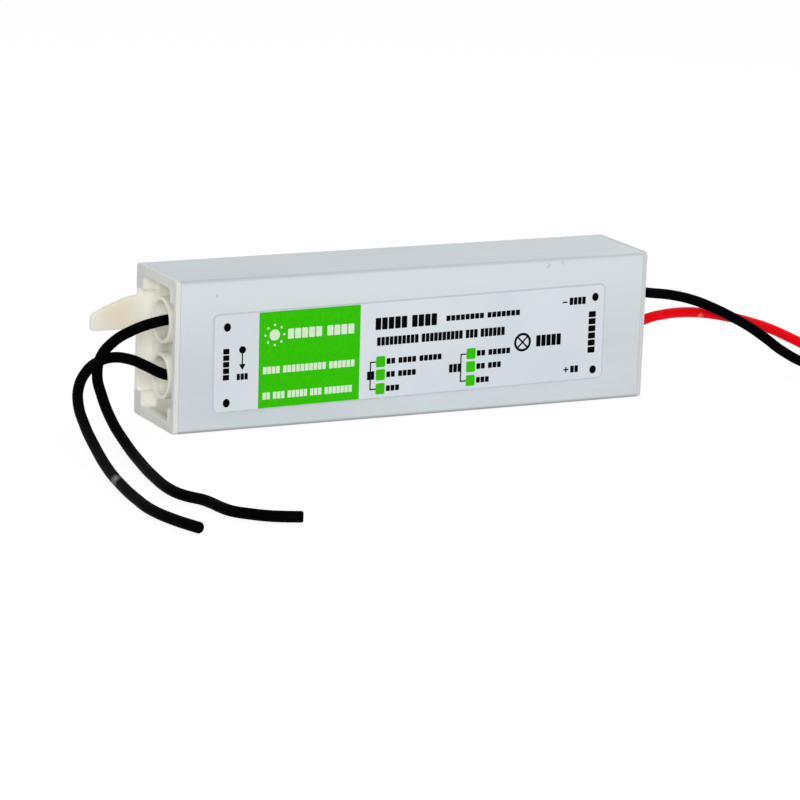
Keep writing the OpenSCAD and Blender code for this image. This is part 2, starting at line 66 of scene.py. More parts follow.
bpy.context.scene.view_settings.view_transform = "Standard"

# Leads
# Four stranded leads in soft PVC insulation: two black ones for the mains, and a black and a red
# one for the output. They are soldered to the board, leave through resin and caps, and are cut flat.
tube_low, tube_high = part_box("housing_tube")
tube_end = tube_high.x
mid_z = (tube_low.z + tube_high.z) / 2
flange = 1 * mm
recess_depth = 3 * mm
rim = tube_end + flange
recess = rim - recess_depth
lead_width = 2.1 * mm
lead_pitch = 11 * mm
upper = mid_z + lead_pitch / 2
lower = mid_z - lead_pitch / 2
lead_start = 36 * mm
lead_bend = 7 * mm
bend_steps = 3
seat_gap = 0.02 * mm
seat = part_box("circuit_board")[0].y - lead_width / 2 - seat_gap
cut_round = 0.25 * mm
cut_narrow = 0.86
lie = 1.1

# Points outside the cap, in millimetres: distance out from the rim, depth, height above the floor
input_upper_way = [
    (0.5, 0, 20), (4.5, 0, 18.9), (8.8, -0.5, 17), (11.8, -1.5, 14.4), (13.2, -3.3, 11.3),
    (13.4, -6.2, 8.1), (13.6, -11.5, 4.7), (14.1, -20, 2.1), (15.4, -30, lie), (17.2, -41, lie),
    (17.9, -49.5, lie), (17.5, -53.2, lie), (16.5, -55.9, lie), (15.3, -58, lie), (14.6, -60.7, lie),
    (14.2, -64, lie), (13.3, -67.1, lie), (11.3, -69.6, lie), (8, -72.4, lie), (3, -74.6, lie)]
input_lower_way = [
    (-1, 0.1, 10.2), (1.5, 0.4, 11.5), (5, 1.1, 13), (8.6, 1.5, 13.4), (11.8, 0.9, 12.7),
    (14.7, -0.9, 11.3), (17.1, -3.7, 9.4), (18.7, -7.5, 7.2), (20, -14, 4.7), (21.5, -23, 2.7),
    (23.2, -33, 1.4), (25, -44, lie), (26.2, -54, lie), (26.5, -62, lie), (25.2, -69.5, lie),
    (23.2, -75.5, lie)]
output_black_way = [
    (1.5, 0, 20), (6.5, 0, 19.2), (12, -0.2, 18.4), (17, -0.7, 17.1), (21.5, -1.1, 15.3),
    (26, -1.5, 13.1), (30, -1.9, 10.9), (33.7, -2.3, 8.4), (37.5, -3.1, 5.6), (42, -5, 3.1),
    (47, -8.5, 1.6), (52, -14, lie), (55.5, -22, lie), (57.3, -31, lie), (57.3, -41, lie),
    (55.9, -51, lie)]
output_red_way = [
    (-0.5, 0.2, 10.4), (3, 0.6, 12.2), (6.7, 1, 13.5), (11.3, 1.4, 14.1), (16, 1.5, 14.2),
    (21, 1.5, 13.7), (26.5, 1.5, 12.6), (32, 1.5, 11.1), (37.5, 1.5, 9.2), (43, 1.2, 6.7),
    (48.5, -0.5, 4), (54, -4.5, 2), (58.5, -11, lie), (61.5, -20, lie), (62.9, -31, lie),
    (62.7, -41, lie)]


def tone(red, green, blue):
    """A colour as it looks on a screen, 0 to 255, as the linear colour that a shader takes."""
    return tuple(((c / 255 + 0.055) / 1.055) ** 2.4 for c in (red, green, blue)) + (1,)


def new_finish(name, roughness, metallic=0, specular=0.5):
    """A material with one shader; returns the material, its node tree and the shader."""
    finish = bpy.data.materials.new(name)
    finish.use_nodes = True
    shader = finish.node_tree.nodes["Principled BSDF"]
    shader.inputs["Roughness"].default_value = roughness
    shader.inputs["Metallic"].default_value = metallic
    shader.inputs["Specular IOR Level"].default_value = specular
    return finish, finish.node_tree, shader


def grain(tree, scale, detail=3, stretch=(1, 1, 1)):
    """Noise on the piece's own coordinates, as a value from 0 to 1."""
    place = tree.nodes.new("ShaderNodeTexCoord")
    mapping = tree.nodes.new("ShaderNodeMapping")
    mapping.inputs["Scale"].default_value = stretch
    noise = tree.nodes.new("ShaderNodeTexNoise")
    noise.inputs["Scale"].default_value = scale
    noise.inputs["Detail"].default_value = detail
    tree.links.new(place.outputs["Object"], mapping.inputs["Vector"])
    tree.links.new(mapping.outputs["Vector"], noise.inputs["Vector"])
    return noise.outputs["Fac"]


def shades(tree, value, first, last, start=0.3, end=0.7):
    """Turns a value into a colour between two shades."""
    ramp = tree.nodes.new("ShaderNodeValToRGB")
    for stop, position, colour in zip(ramp.color_ramp.elements, (start, end), (first, last)):
        stop.position = position
        stop.color = colour
    tree.links.new(value, ramp.inputs["Fac"])
    return ramp.outputs["Color"]


def spread(tree, value, low, high, start=0.3, end=0.7):
    """Turns a value into another between two limits, with soft ends."""
    scale = tree.nodes.new("ShaderNodeMapRange")
    scale.interpolation_type = "SMOOTHSTEP"
    scale.inputs["From Min"].default_value = start
    scale.inputs["From Max"].default_value = end
    scale.inputs["To Min"].default_value = low
    scale.inputs["To Max"].default_value = high
    tree.links.new(value, scale.inputs["Value"])
    return scale.outputs["Result"]


def relief(tree, shader, value, height):
    """Raises and sinks the surface by a value, as fine as the grain it comes from."""
    bump = tree.nodes.new("ShaderNodeBump")
    bump.inputs["Distance"].default_value = height
    bump.inputs["Strength"].default_value = 1
    tree.links.new(value, bump.inputs["Height"])
    tree.links.new(bump.outputs["Normal"], shader.inputs["Normal"])


def near(tree, place, radius):
    """1 at a place on the piece and 0 from a radius on."""
    coordinates = tree.nodes.new("ShaderNodeTexCoord")
    distance = tree.nodes.new("ShaderNodeVectorMath")
    distance.operation = "DISTANCE"
    distance.inputs[1].default_value = place
    tree.links.new(coordinates.outputs["Object"], distance.inputs[0])
    return spread(tree, distance.outputs["Value"], low=1, high=0, start=0, end=radius)


def times(tree, first, second):
    """The product of two values; the second may be a plain number."""
    product = tree.nodes.new("ShaderNodeMath")
    product.operation = "MULTIPLY"
    tree.links.new(first, product.inputs[0])
    if isinstance(second, (int, float)):
        product.inputs[1].default_value = second
    else:
        tree.links.new(second, product.inputs[1])
    return product.outputs["Value"]


def tinted(tree, colour, tint, amount):
    """A colour with another one laid over it by an amount."""
    mix = tree.nodes.new("ShaderNodeMix")
    mix.data_type = "RGBA"
    # For colours, a mix node takes its amount at socket 0 and the two colours at 6 and 7
    mix.inputs[7].default_value = tint
    tree.links.new(amount, mix.inputs[0])
    tree.links.new(colour, mix.inputs[6])
    return mix.outputs[2]


def insulation(name, dark, light, specular):
    """Soft PVC with faint handling marks and a slightly uneven gloss; its colour isn't linked yet."""
    finish, tree, shader = new_finish(name, roughness=0.42, specular=specular)
    marks = grain(tree, scale=700, detail=4)
    colour = shades(tree, marks, dark, light)
    tree.links.new(spread(tree, marks, low=0.36, high=0.5), shader.inputs["Roughness"])
    relief(tree, shader, grain(tree, scale=1600, detail=2), height=0.02 * mm)
    return finish, tree, shader, colour


def lead_route(side, height, way):
    """Points of a lead, in metres: an S-bend from the board to the cap, then its way outside."""
    route = []
    for step in range(bend_steps + 1):
        part = step / bend_steps
        depth = seat * (1 + math.cos(math.pi * part)) / 2
        route.append(Vector((side * (lead_start + lead_bend * part), depth, height)))
    route.append(Vector((side * recess, 0, height)))
    for out, depth, up in way:
        route.append(Vector((side * (rim + out * mm), depth * mm, up * mm)))
    back = (route[-2] - route[-1]).normalized()
    route.insert(-1, route[-1] + back * cut_round)
    return route


def lay_lead(name, node, finish, side, height, way):
    """A lead as one smooth curve, a little rounded at its cut end."""
    line = bpy.data.curves.new(name, "CURVE")
    line.dimensions = "3D"
    line.bevel_depth = lead_width / 2
    line.bevel_resolution = 7
    line.resolution_u = 10
    line.use_fill_caps = True
    route = lead_route(side, height, way)
    spline = line.splines.new("BEZIER")
    spline.bezier_points.add(len(route) - 1)
    for point, place in zip(spline.bezier_points, route):
        point.co = place
        point.handle_left_type = "AUTO"
        point.handle_right_type = "AUTO"
    spline.bezier_points[-1].radius = cut_narrow
    lead = bpy.data.objects.new(name, line)
    bpy.context.collection.objects.link(lead)
    line.materials.append(finish)
    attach(lead, "root")
    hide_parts(node)


def scuffed_or_highlit(finish, tree, shader, colour, place, reach, tint):
    """Lays a patchy pale spot over a lead's colour: a scuff on black, a painted highlight on red."""
    patchy = spread(tree, grain(tree, scale=900), low=0.4, high=1, start=0.4, end=0.6)
    pale_spot = times(tree, near(tree, place, reach), patchy)
    tree.links.new(tinted(tree, colour, tint, pale_spot), shader.inputs["Base Color"])
    return finish


black_scuff = Vector((-77.3, -42.1, 1.4)) * mm
black_pvc = scuffed_or_highlit(*insulation("black_pvc", tone(2, 2, 3), tone(6, 6, 9), specular=0.005),
                    place=black_scuff, reach=2.5 * mm, tint=tone(164, 165, 168))
# The pale spot on the red lead is a painted highlight
red_highlight = Vector((71, 0.6, 13.2)) * mm
red_pvc = scuffed_or_highlit(*insulation("red_pvc", tone(246, 2, 17), tone(255, 6, 26), specular=0.05),
                  place=red_highlight, reach=1 * mm, tint=tone(255, 156, 164))
lay_lead("lead_input_upper", "input_lead_upper", black_pvc, -1, upper, input_upper_way)
lay_lead("lead_input_lower", "input_lead_lower", black_pvc, -1, lower, input_lower_way)
lay_lead("lead_output_black", "output_lead_black", black_pvc, 1, upper, output_black_way)
lay_lead("lead_output_red", "output_lead_red", red_pvc, 1, lower, output_red_way)


# Circuit board
# Glass-fibre laminate under green solder mask. It is held at both ends by the resin, and the
# weave of the glass shows faintly through the mask.
def coat(finish, *nodes):
    """Gives CAD nodes a finish."""
    for node in nodes:
        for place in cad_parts[node].material_slots:
            place.material = finish


def weave(tree, pitch, waviness):
    """Threads that cross at right angles in the plane of the board, as a value."""
    threads = []
    for direction in ("X", "Z"):
        place = tree.nodes.new("ShaderNodeTexCoord")
        wave = tree.nodes.new("ShaderNodeTexWave")
        wave.bands_direction = direction
        wave.inputs["Scale"].default_value = wave_unit / pitch
        wave.inputs["Distortion"].default_value = waviness
        tree.links.new(place.outputs["Object"], wave.inputs["Vector"])
        threads.append(wave.outputs["Fac"])
    return times(tree, *threads)


thread_pitch = 0.5 * mm
wave_unit = 0.31    # length of a wave at a scale of 1
solder_mask, tree, shader = new_finish("solder_mask", roughness=0.35)
threads = weave(tree, thread_pitch, waviness=0.6)
mask_colour = shades(tree, threads, tone(28, 92, 48), tone(44, 112, 62), start=0, end=1)
tree.links.new(mask_colour, shader.inputs["Base Color"])
relief(tree, shader, threads, height=0.01 * mm)
coat(solder_mask, "circuit_board")


# Components on the board
# Bought parts on tinned legs: moulded chips and diodes, dipped discs, a coated resistor, a boxed
# film capacitor, ferrite cores, sleeved cans and a taped winding. Each body has its own grain.
def speckled(name, dark, light, roughness, scale, height):
    """A body colour that varies with a fine grain, which also roughens the surface."""
    finish, tree, shader = new_finish(name, roughness)
    marks = grain(tree, scale, detail=4)
    tree.links.new(shades(tree, marks, dark, light), shader.inputs["Base Color"])
    gloss = spread(tree, marks, roughness - uneven, roughness + uneven)
    tree.links.new(gloss, shader.inputs["Roughness"])
    relief(tree, shader, marks, height)
    return finish


uneven = 0.08
coat(speckled("chip_epoxy", tone(30, 30, 33), tone(46, 46, 50),
              roughness=0.6, scale=2500, height=0.02 * mm),
     "bridge_rectifier", "controller_chip", "clamp_diode", "output_diode", "transformer_bobbin")
coat(speckled("dipped_coating", tone(40, 88, 160), tone(58, 110, 184),
              roughness=0.4, scale=500, height=0.05 * mm),
     "varistor", "interference_capacitor")
coat(speckled("resistor_paint", tone(128, 150, 126), tone(152, 172, 148),
              roughness=0.7, scale=1400, height=0.03 * mm),
     "fuse_resistor")
coat(speckled("capacitor_case", tone(196, 156, 36), tone(214, 176, 58),
              roughness=0.35, scale=900, height=0.01 * mm),
     "filter_capacitor")
coat(speckled("ferrite_ceramic", tone(40, 40, 43), tone(66, 66, 70),
              roughness=0.75, scale=3200, height=0.03 * mm),
     "input_choke", "output_choke", "transformer_core_input_half", "transformer_core_output_half")
coat(speckled("can_film", tone(32, 44, 84), tone(42, 56, 100),
              roughness=0.3, scale=300, height=0.02 * mm),
     "bulk_capacitor", "output_capacitor_inner", "output_capacitor_outer")
coat(speckled("winding_tape_film", tone(206, 166, 48), tone(226, 188, 76),
              roughness=0.3, scale=260, height=0.06 * mm),
     "transformer_winding")
coat(speckled("optocoupler_epoxy", tone(218, 216, 206), tone(232, 230, 222),
              roughness=0.55, scale=2500, height=0.02 * mm),
     "optocoupler")

# Insulating sleeve and sealing resin
# Fish paper folded round the board keeps live parts off the metal, and two-part resin cast behind
# each cap keeps water out and holds the leads.
coat(speckled("fish_paper", tone(206, 190, 148), tone(224, 210, 172),
              roughness=0.85, scale=1100, height=0.05 * mm),
     "insulation_sleeve")
coat(speckled("cast_resin", tone(208, 204, 188), tone(222, 218, 204),
              roughness=0.35, scale=220, height=0.08 * mm),
     "input_sealant", "output_sealant")


# Housing tube
# A length of thin rectangular aluminium extrusion, matt and silvery, sawn to length. The caps plug
# into its open ends. Faint die lines run along it. Its edges carry painted shade, most where it stands,
# and its upper front and back a painted light.
def start_box(name, low, high):
    """A box between two corners, with its place in its mesh, as the start of a piece."""
    bpy.ops.object.select_all(action="DESELECT")
    bpy.ops.mesh.primitive_cube_add(size=1, location=[(a + b) / 2 for a, b in zip(low, high)])
    piece = bpy.context.object
    piece.name = name
    piece.scale = [b - a for a, b in zip(low, high)]
    bpy.ops.object.transform_apply(location=True, rotation=True, scale=True)
    return piece


def pick(piece, kind, test, crease=0):
    """Goes into edit mode with only those edges or faces selected that pass a test.
    The test gets an edge's middle and direction, or a face's middle and normal."""
    bpy.context.view_layer.objects.active = piece
    bpy.ops.object.mode_set(mode="EDIT")
    bpy.ops.mesh.select_mode(type=kind)
    bpy.ops.mesh.select_all(action="DESELECT")
    shape = bmesh.from_edit_mesh(piece.data)
    if kind == "FACE":
        for face in shape.faces:
            face.select_set(test(face.calc_center_median(), face.normal))
    else:
        for edge in shape.edges:
            first, last = (point.co for point in edge.verts)
            if edge.calc_face_angle(0) >= crease and test((first + last) / 2, (last - first).normalized()):
                edge.select_set(True)
    bmesh.update_edit_mesh(piece.data)


def soften(piece, radius, steps, test):
    """Rounds the creased edges that pass a test."""
    pick(piece, "EDGE", test, crease=crease_angle)
    bpy.ops.mesh.bevel(offset=radius, segments=steps, affect="EDGES")
    bpy.ops.object.mode_set(mode="OBJECT")


def combine(piece, tool, how):
    """Joins a tool's shape to a piece or cuts it out of it, and drops the tool."""
    bpy.ops.object.select_all(action="DESELECT")
    bpy.context.view_layer.objects.active = piece
    step = piece.modifiers.new(tool.name, "BOOLEAN")
    step.operation = how
    step.solver = "EXACT"
    step.object = tool
    bpy.ops.object.modifier_apply(modifier=step.name)
    bpy.data.objects.remove(tool)


def smooth(piece):
    """Smooth shading on round edges, flat on flat faces."""
    bpy.ops.object.select_all(action="DESELECT")
    piece.select_set(True)
    bpy.context.view_layer.objects.active = piece
    bpy.ops.object.shade_smooth_by_angle(angle=smooth_angle)
    step = piece.modifiers.new("flat_faces", "WEIGHTED_NORMAL")
    step.keep_sharp = True
    bpy.ops.object.modifier_apply(modifier=step.name)


def at(value, target):
    """True for a value within a hundredth of a millimetre of another."""
    return abs(value - target) < 0.01 * mm


def lengthwise(middle, run):
    """True for an edge along the tube."""
    return abs(run.x) > parallel


def outer_end_edge(middle, run):
    """True for the outer edges of the tube's sawn ends."""
    outward = max(abs(middle.y) / tube_high.y, abs(middle.z - mid_z) / mid_z)
    return at(abs(middle.x), tube_end) and outward > outer_share


crease_angle = math.radians(50)
smooth_angle = math.radians(40)
parallel = 0.99
outer_share = 0.97
edge_radius = 0.8 * mm
inner_radius = 0.4 * mm
wall = 0.8 * mm
saw_edge = 0.1 * mm
past_end = 1 * mm
tube = start_box("tube_shell", tube_low, tube_high)
soften(tube, edge_radius, steps=8, test=lengthwise)
bore_inset = Vector((-past_end, wall, wall))
bore = start_box("tube_bore", tube_low + bore_inset, tube_high - bore_inset)
soften(bore, inner_radius, steps=4, test=lengthwise)
combine(tube, bore, "DIFFERENCE")
soften(tube, saw_edge, steps=2, test=outer_end_edge)
smooth(tube)


def beyond(tree, axis, middle, start, end):
    """0 up to a distance from a middle plane across an axis, and 1 from another distance on."""
    place = tree.nodes.new("ShaderNodeTexCoord")
    split = tree.nodes.new("ShaderNodeSeparateXYZ")
    distance = tree.nodes.new("ShaderNodeMath")
    distance.operation = "SUBTRACT"
    distance.inputs[1].default_value = middle
    size = tree.nodes.new("ShaderNodeMath")
    size.operation = "ABSOLUTE"
    tree.links.new(place.outputs["Object"], split.inputs["Vector"])
    tree.links.new(split.outputs[axis], distance.inputs[0])
    tree.links.new(distance.outputs["Value"], size.inputs[0])
    return spread(tree, size.outputs["Value"], low=0, high=1, start=start, end=end)


line_shade = tone(192, 199, 203)
speckle_shade = tone(186, 193, 197)
face_depth = 0.3 * mm
face_skin = 0.1 * mm
painted_edge_shade = tone(178, 184, 187)
edge_reach = 1 * mm
painted_upper_light = tone(216, 224, 228)
upper_start = 12 * mm
upper_end = 28 * mm
painted_foot_shadow = tone(166, 172, 174)
foot_reach = 0.8 * mm
smudge_shade = tone(150, 156, 159)
# Rubbed spots on the front face, in millimetres: place along the tube, height, reach
smudges = ((28.65, 28.6, 0.9), (32.05, 28.9, 0.8), (-43.1, 26.8, 0.35))
aluminium, tree, shader = new_finish("matt_aluminium", roughness=0.5, metallic=0.35)
die_lines = grain(tree, scale=900, detail=4, stretch=(0.012, 1, 1))
blotches = grain(tree, scale=60, stretch=(0.6, 1, 1))
colour = shades(tree, blotches, tone(204, 212, 217), tone(210, 218, 222))
lines = spread(tree, die_lines, low=0, high=0.16, start=0.35, end=0.75)
colour = tinted(tree, colour, line_shade, lines)
speckles = spread(tree, grain(tree, scale=2600, detail=2), low=0, high=0.22, start=0.5, end=0.75)
colour = tinted(tree, colour, speckle_shade, speckles)
broad_faces = beyond(tree, "Y", 0, tube_high.y - face_depth, tube_high.y - face_skin)
# Painted light: the upper parts of the front and back faces are painted lighter
upper_part = times(tree, broad_faces, beyond(tree, "Z", 0, upper_start, upper_end))
colour = tinted(tree, colour, painted_upper_light, upper_part)
# Painted shade on the rounded long edges
long_edges = times(tree, beyond(tree, "Y", 0, tube_high.y - edge_reach, tube_high.y),
                   beyond(tree, "Z", mid_z, mid_z - edge_reach, mid_z))
colour = tinted(tree, colour, painted_edge_shade, long_edges)
# Painted shadow along the foot, where the tube stands
foot_shadow = beyond(tree, "Z", tube_high.z, tube_high.z - foot_reach, tube_high.z - foot_reach / 3)
colour = tinted(tree, colour, painted_foot_shadow, foot_shadow)
for x, z, reach in smudges:
    blot = near(tree, Vector((x, tube_low.y / mm, z)) * mm, reach * mm)
    rubbed = spread(tree, grain(tree, scale=1500), low=0, high=0.75, start=0.3, end=0.65)
    colour = tinted(tree, colour, smudge_shade, times(tree, blot, rubbed))
tree.links.new(colour, shader.inputs["Base Color"])
tree.links.new(spread(tree, die_lines, low=0.47, high=0.54), shader.inputs["Roughness"])
relief(tree, shader, die_lines, height=0.0015 * mm)
tube.data.materials.append(aluminium)
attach(tube, "root")
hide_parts("housing_tube")


# End caps
# Each cap is one moulding in natural nylon: a flange over the tube's end, a spigot inside it, an
# open recess with a thin ring round each lead, and a flat ear flush with the mounting face.
def start_rod(name, radius, first, last, height, sides):
    """A round bar along the tube, as the start of a ring or a hole."""
    bpy.ops.object.select_all(action="DESELECT")
    bpy.ops.mesh.primitive_cylinder_add(
        vertices=sides, radius=radius, depth=last - first,
        location=((first + last) / 2, 0, height), rotation=(0, math.pi / 2, 0))
    piece = bpy.context.object
    piece.name = name
    bpy.ops.object.transform_apply(location=True, rotation=True, scale=True)
    return piece


def front_to_back(middle, run):
    """True for an edge that runs from front to back."""
    return abs(run.y) > parallel


depth = tube_high.y
height = tube_high.z
spigot_fit = 0.1 * mm
spigot_wall = 1.1 * mm
rim_width = wall + spigot_fit + spigot_wall
spigot_inset = wall + spigot_fit
floor_thickness = 2 * mm
inside = recess - floor_thickness
flange_edge = 0.1 * mm
overlap = 0.3 * mm
hair = 0.02 * mm

cap = start_box("cap_output", (tube_end, -depth, 0), (rim, depth, height))
soften(cap, edge_radius, steps=8, test=lengthwise)
soften(cap, flange_edge, steps=2, test=lambda middle, run: at(middle.x, tube_end))
spigot = start_box("cap_spigot", (inside, -depth + spigot_inset, spigot_inset),
                   (tube_end + overlap, depth - spigot_inset, height - spigot_inset))
soften(spigot, inner_radius, steps=4, test=lengthwise)
combine(cap, spigot, "UNION")

# The recess is cut with rounded corners and a small fillet round its floor. Posts are left in its
# corners, and between them it is cut wider, at the rear to the plane of the ear's front face
ear_thickness = 1.4 * mm
notch_height = 20.4 * mm
post_width = 3.2 * mm
recess_radius = 0.8 * mm
notch_radius = 0.2 * mm
floor_fillet = 0.35 * mm
lip_round = 0.22 * mm
pocket = start_box("cap_pocket", (recess, -depth + post_width, rim_width),
                   (rim + past_end, depth - post_width, height - rim_width))
soften(pocket, recess_radius, steps=6, test=lengthwise)
soften(pocket, floor_fillet, steps=3, test=lambda middle, run: at(middle.x, recess))
combine(cap, pocket, "DIFFERENCE")
notch = start_box("cap_notch",
                  (recess + hair, -depth + ear_thickness, mid_z - notch_height / 2),
                  (rim + past_end, depth - ear_thickness, mid_z + notch_height / 2))
soften(notch, notch_radius, steps=3, test=lengthwise)
combine(cap, notch, "DIFFERENCE")
soften(cap, lip_round, steps=3, test=lambda middle, run: at(middle.x, rim))

# Each ring stands on the recess's floor a little below the rim, and the lead's hole is inside it
ring_radius = 4.6 * mm
ring_bore = 3.8 * mm
ring_drop = 1.1 * mm
ring_top = rim - ring_drop
hole_fit = 0.1 * mm
hole_radius = lead_width / 2 + hole_fit
for level in (lower, upper):
    ring = start_rod("cap_ring", ring_radius, recess - overlap, ring_top, level, sides=64)
    pick(ring, "FACE", lambda middle, normal: normal.x > parallel)
    bpy.ops.mesh.inset(thickness=ring_radius - ring_bore, depth=0)
    bpy.ops.mesh.extrude_region_move(
        TRANSFORM_OT_translate={"value": (recess + hair - ring_top, 0, 0)})
    bpy.ops.object.mode_set(mode="OBJECT")
    soften(ring, lip_round, steps=3, test=lambda middle, run: at(middle.x, ring_top))
    combine(cap, ring, "UNION")
    hole = start_rod("cap_hole", hole_radius, inside - overlap, recess + overlap, level, sides=32)
    combine(cap, hole, "DIFFERENCE")

# The ear's lower edge sweeps up to its narrow, rounded tip
ear_length = 9.7 * mm
ear_root = 6.6 * mm
ear_tip = 3.1 * mm
ear_offset = 2.1 * mm
ear_top = mid_z - ear_offset
ear_steps = 10
ear_sweep = 1.45
ear_tip_radius = 0.6 * mm
ear_edge = 0.2 * mm
ear = start_box("cap_ear", (tube_end + overlap, depth - ear_thickness + hair / 2, ear_top - ear_root),
                (rim + ear_length, depth - hair / 2, ear_top))
for step in range(ear_steps):
    part = step / ear_steps
    pick(ear, "FACE", lambda middle, normal: True)
    bpy.ops.mesh.bisect(plane_co=(rim + part * ear_length, 0, 0), plane_no=(1, 0, 0))
    bpy.ops.object.mode_set(mode="OBJECT")
for step in range(1, ear_steps + 1):
    part = step / ear_steps
    rise = (ear_root - ear_tip) * part ** ear_sweep
    pick(ear, "EDGE", lambda middle, run: front_to_back(middle, run)
         and at(middle.x, rim + part * ear_length) and at(middle.z, ear_top - ear_root))
    bpy.ops.transform.translate(value=(0, 0, rise))
    bpy.ops.object.mode_set(mode="OBJECT")
soften(ear, ear_tip_radius, steps=5,
       test=lambda middle, run: front_to_back(middle, run) and at(middle.x, rim + ear_length))
soften(ear, ear_edge, steps=3, test=lambda middle, run: middle.x > rim)
combine(cap, ear, "UNION")
smooth(cap)


def opposite(tree, mask):
    """1 where a mask is 0, and 0 where it is 1."""
    return spread(tree, mask, low=1, high=0, start=0, end=1)


# Inside the rim the nylon is painted paler, a painted light for the light its thin walls let through, and
# the output end looks greyer
painted_lit_nylon = tone(253, 251, 240)
grey_nylon = tone(213, 213, 214)
blend = 1.4 * mm
nylon, tree, shader = new_finish("natural_nylon", roughness=0.46, specular=0.3)
clouds = grain(tree, scale=130)
frame_tone = shades(tree, clouds, tone(226, 228, 224), tone(232, 234, 230))
behind_front = beyond(tree, "Y", -depth, rim_width - blend, rim_width + blend)
near_ends = beyond(tree, "Z", mid_z, mid_z - rim_width - blend, mid_z - rim_width + blend)
between_ends = opposite(tree, near_ends)
output_end = beyond(tree, "X", -rim, rim, rim + blend)
colour = tinted(tree, frame_tone, grey_nylon, output_end)
colour = tinted(tree, colour, painted_lit_nylon, times(tree, behind_front, between_ends))

# The rear posts' ends are as pale grey as the rim
post_nylon = tone(222, 224, 221)
post_front = 2 * depth - post_width
post_blend = 2.4 * mm
end_depth, end_skin = 0.4 * mm, 0.1 * mm
notch_inside, notch_outside = 0.3 * mm, 0.1 * mm
notch_half = notch_height / 2
at_rim = beyond(tree, "X", 0, rim - end_depth, rim - end_skin)
past_notch = beyond(tree, "Z", mid_z, notch_half - notch_inside, notch_half + notch_outside)
at_back = beyond(tree, "Y", -depth, post_front - post_blend, post_front)
post_ends = times(tree, times(tree, at_rim, past_notch), at_back)
colour = tinted(tree, colour, post_nylon, post_ends)

# Painted shade darkens the recess: along its end walls, between the rings and in its front corners
shaded_nylon = tone(176, 174, 162)
wall_shade, ring_shade = 0.5, 0.65
wall_shade_reach = 6 * mm
shade_reach = 6.5 * mm
ring_shade_depth = 2 * mm
shade_full, shade_none = 1.8 * mm, 0.8 * mm
off_rim = opposite(tree, beyond(tree, "X", 0, rim - shade_full, rim - shade_none))
off_back = opposite(tree, at_back)
by_walls = beyond(tree, "Z", mid_z, mid_z - rim_width - wall_shade_reach, mid_z - rim_width)
on_floor = times(tree, off_rim, off_back)
recess_shade = times(tree, on_floor, by_walls)
colour = tinted(tree, colour, shaded_nylon, times(tree, recess_shade, wall_shade))

# The ears are painted a warmer shade at their middle, a painted soft shadow of the lead in the translucent
# nylon. Each end takes this, then the rest of its painted shade
warm_shade_nylon = tone(248, 232, 202)
warm_amount = 0.7
warm_reach = 6.4 * mm
warm_out = 4.5 * mm
warm_down = 0.55 * ear_root
warm_place = Vector((rim + warm_out, depth - ear_thickness, ear_top - warm_down - mid_z))
for side in (1, -1):
    place = Vector((side * warm_place.x, warm_place.y, mid_z + side * warm_place.z))
    warmth = times(tree, near(tree, place, warm_reach), warm_amount)
    colour = tinted(tree, colour, warm_shade_nylon, warmth)
    # Painted shade between the rings, then in the recess's front corners
    place = Vector((side * recess, ring_shade_depth, mid_z))
    recess_shade = times(tree, near(tree, place, shade_reach), off_rim)
    colour = tinted(tree, colour, shaded_nylon, times(tree, recess_shade, ring_shade))
    for corner in (rim_width, height - rim_width):
        place = Vector((side * recess, post_width - depth, corner))
        recess_shade = times(tree, near(tree, place, shade_reach), off_rim)
        colour = tinted(tree, colour, shaded_nylon, recess_shade)
tree.links.new(colour, shader.inputs["Base Color"])
tree.links.new(spread(tree, clouds, low=0.4, high=0.54), shader.inputs["Roughness"])
relief(tree, shader, grain(tree, scale=2400, detail=2), height=0.01 * mm)
shader.inputs["Subsurface Weight"].default_value = 0.2
shader.inputs["Subsurface Radius"].default_value = (1.0, 0.85, 0.6)
shader.inputs["Subsurface Scale"].default_value = 0.8 * mm
cap.data.materials.append(nylon)

# The input end has the same cap, turned half round
bpy.ops.object.select_all(action="DESELECT")
cap.select_set(True)
bpy.context.view_layer.objects.active = cap
bpy.ops.object.duplicate()
turned_cap = bpy.context.object
turned_cap.name = "cap_input"
bpy.ops.transform.rotate(value=math.pi, orient_axis="Y", center_override=(0, 0, mid_z))
bpy.ops.object.transform_apply(location=True, rotation=True, scale=True)
for piece, node in ((cap, "output_end_cap"), (turned_cap, "input_end_cap")):
    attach(piece, "root")
    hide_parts(node)

# Label
# A self-adhesive label of satin silvery film, die-cut with round corners. It was stuck on by hand,
# a little askew, and its adhesive stands out round it as a thin grey line that holds dust.
label_low, label_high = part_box("label")
label_middle = (label_low + label_high) / 2
label_half = Vector((42.6, 0, 9.5)) * mm
label_turn = math.radians(0.7)
label_radius = 1 * mm
label_edge = 0.04 * mm
adhesive_width = 0.3 * mm
adhesive_thickness = 0.03 * mm


def turn_on_face(piece):
    """Turns a piece on the front face about the label's middle, right end up."""
    bpy.ops.object.select_all(action="DESELECT")
    piece.select_set(True)
    bpy.context.view_layer.objects.active = piece
    bpy.ops.transform.rotate(value=label_turn, orient_axis="Y", center_override=label_middle)
    bpy.ops.object.transform_apply(location=True, rotation=True, scale=True)


def start_sheet(name, thickness, margin):
    """A thin sheet on the tube's front, of the label's outline and a margin round it."""
    half = label_half + Vector((margin, 0, margin))
    low = Vector((label_middle.x, label_high.y - thickness, label_middle.z)) - half
    high = Vector((label_middle.x, label_high.y, label_middle.z)) + half
    sheet = start_box(name, low, high)
    soften(sheet, label_radius + margin, steps=8, test=front_to_back)
    return sheet


label = start_sheet("label_sheet", label_high.y - label_low.y, 0)
soften(label, label_edge, steps=2, test=lambda middle, run: at(middle.y, label_low.y))
turn_on_face(label)
smooth(label)
film, tree, shader = new_finish("label_satin_film", roughness=0.42, metallic=0.25)
